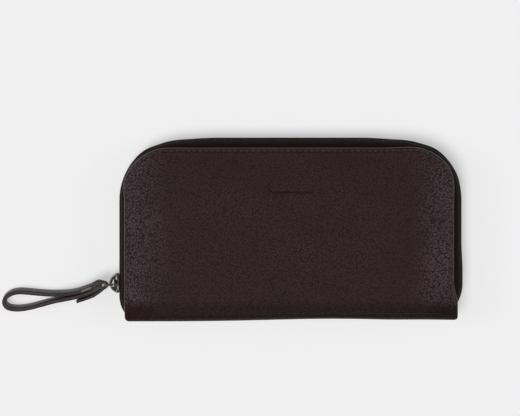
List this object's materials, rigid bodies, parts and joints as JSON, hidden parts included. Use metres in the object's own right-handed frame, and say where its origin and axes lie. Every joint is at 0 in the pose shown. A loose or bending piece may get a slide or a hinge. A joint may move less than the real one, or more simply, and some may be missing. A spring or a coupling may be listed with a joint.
{
  "type": "zip around wallet",
  "caption": "Long leather wallet closed by a zip round its open edges, with an accordion inside for cards, notes and coins and a wrist strap on the slider.",
  "frame": {"origin": "middle of the back cover's outer face, on the surface the wallet lies on", "axes": "+X along the spine away from the slider and strap, +Y from the spine to the zip, +Z from the back cover to the front cover"},
  "size_m": [0.2553, 0.1017, 0.023],
  "materials": {
    "leather": "pebbled, soft sheen",
    "board": "stiffener board",
    "lining": "fine twill",
    "zip_tape": "woven polyester",
    "zip_coil": "nylon",
    "thread": "bonded thread",
    "antique_brass": "antique",
    "gunmetal": "polished dark plating"
  },
  "bodies": {
    "back_cover": {"back_leather": "leather", "back_board": "board", "back_lining": "lining", "back_slip_panel": "lining", "back_card_slot_1": "leather", "back_card_slot_2": "leather", "back_card_slot_3": "leather", "back_card_slot_4": "leather", "back_zip_tape": "zip_tape", "back_zip_coil": "zip_coil", "back_zip_stops": "antique_brass", "back_stitching": "thread", "gusset_back_left": "lining", "gusset_back_right": "lining"},
    "divider": {"spine_leather": "leather", "spine_lining": "lining", "pocket_back_panel": "leather", "pocket_front_panel": "leather", "pocket_left_seam": "lining", "pocket_right_seam": "lining", "coin_zip_back_tape": "zip_tape", "coin_zip_front_tape": "zip_tape", "coin_zip_back_coil": "zip_coil", "coin_zip_front_coil": "zip_coil", "coin_zip_stops": "antique_brass"},
    "front_cover": {"front_leather": "leather", "front_board": "board", "front_lining": "lining", "front_slip_panel": "lining", "front_card_slot_1": "leather", "front_card_slot_2": "leather", "front_card_slot_3": "leather", "front_card_slot_4": "leather", "front_zip_tape": "zip_tape", "front_zip_coil": "zip_coil", "front_zip_stops": "antique_brass", "front_stitching": "thread", "gusset_front_left": "lining", "gusset_front_right": "lining"},
    "slider": {"zip_slider": "gunmetal"},
    "ring": {"pull_ring": "antique_brass"},
    "strap": {"wrist_strap": "leather", "strap_stitching": "thread"},
    "coin_slider": {"coin_slider": "gunmetal"},
    "coin_tab": {"coin_pull_tab": "gunmetal"}
  },
  "joints": [
    {"name": "spine_swing", "type": "hinge", "parent": "back_cover", "child": "divider", "pos_m": [0, -0.0468, 0], "axis": [1, 0, 0], "range_deg": [0, 35], "deforming": ["gusset_back_left", "gusset_back_right"]},
    {"name": "front_cover_swing", "type": "hinge", "parent": "divider", "child": "front_cover", "pos_m": [0, -0.0468, 0.023], "axis": [1, 0, 0], "range_deg": [0, 35], "deforming": ["gusset_front_left", "gusset_front_right"]},
    {"name": "slider_travel", "type": "slide", "parent": "back_cover", "child": "slider", "axis": [0, 1, 0], "range_m": [0, 0.037]},
    {"name": "ring_swing", "type": "hinge", "parent": "slider", "child": "ring", "pos_m": [-0.0979, -0.028, 0.0115], "axis": [0, 0, 1], "range_deg": [-30, 30]},
    {"name": "strap_swing", "type": "hinge", "parent": "ring", "child": "strap", "pos_m": [-0.10209, -0.02829, 0.0115], "axis": [0, 0, 1], "range_deg": [-22, 22]},
    {"name": "coin_slider_travel", "type": "slide", "parent": "divider", "child": "coin_slider", "axis": [1, 0, 0], "range_m": [-0.128, 0]},
    {"name": "coin_tab_swing", "type": "hinge", "parent": "coin_slider", "child": "coin_tab", "pos_m": [0.064, 0.033, 0.0115], "axis": [0, 0, 1], "range_deg": [-180, 0]}
  ],
  "couplings": [
    {"joint": "front_cover_swing", "follows": "spine_swing", "ratio": 1}
  ]
}
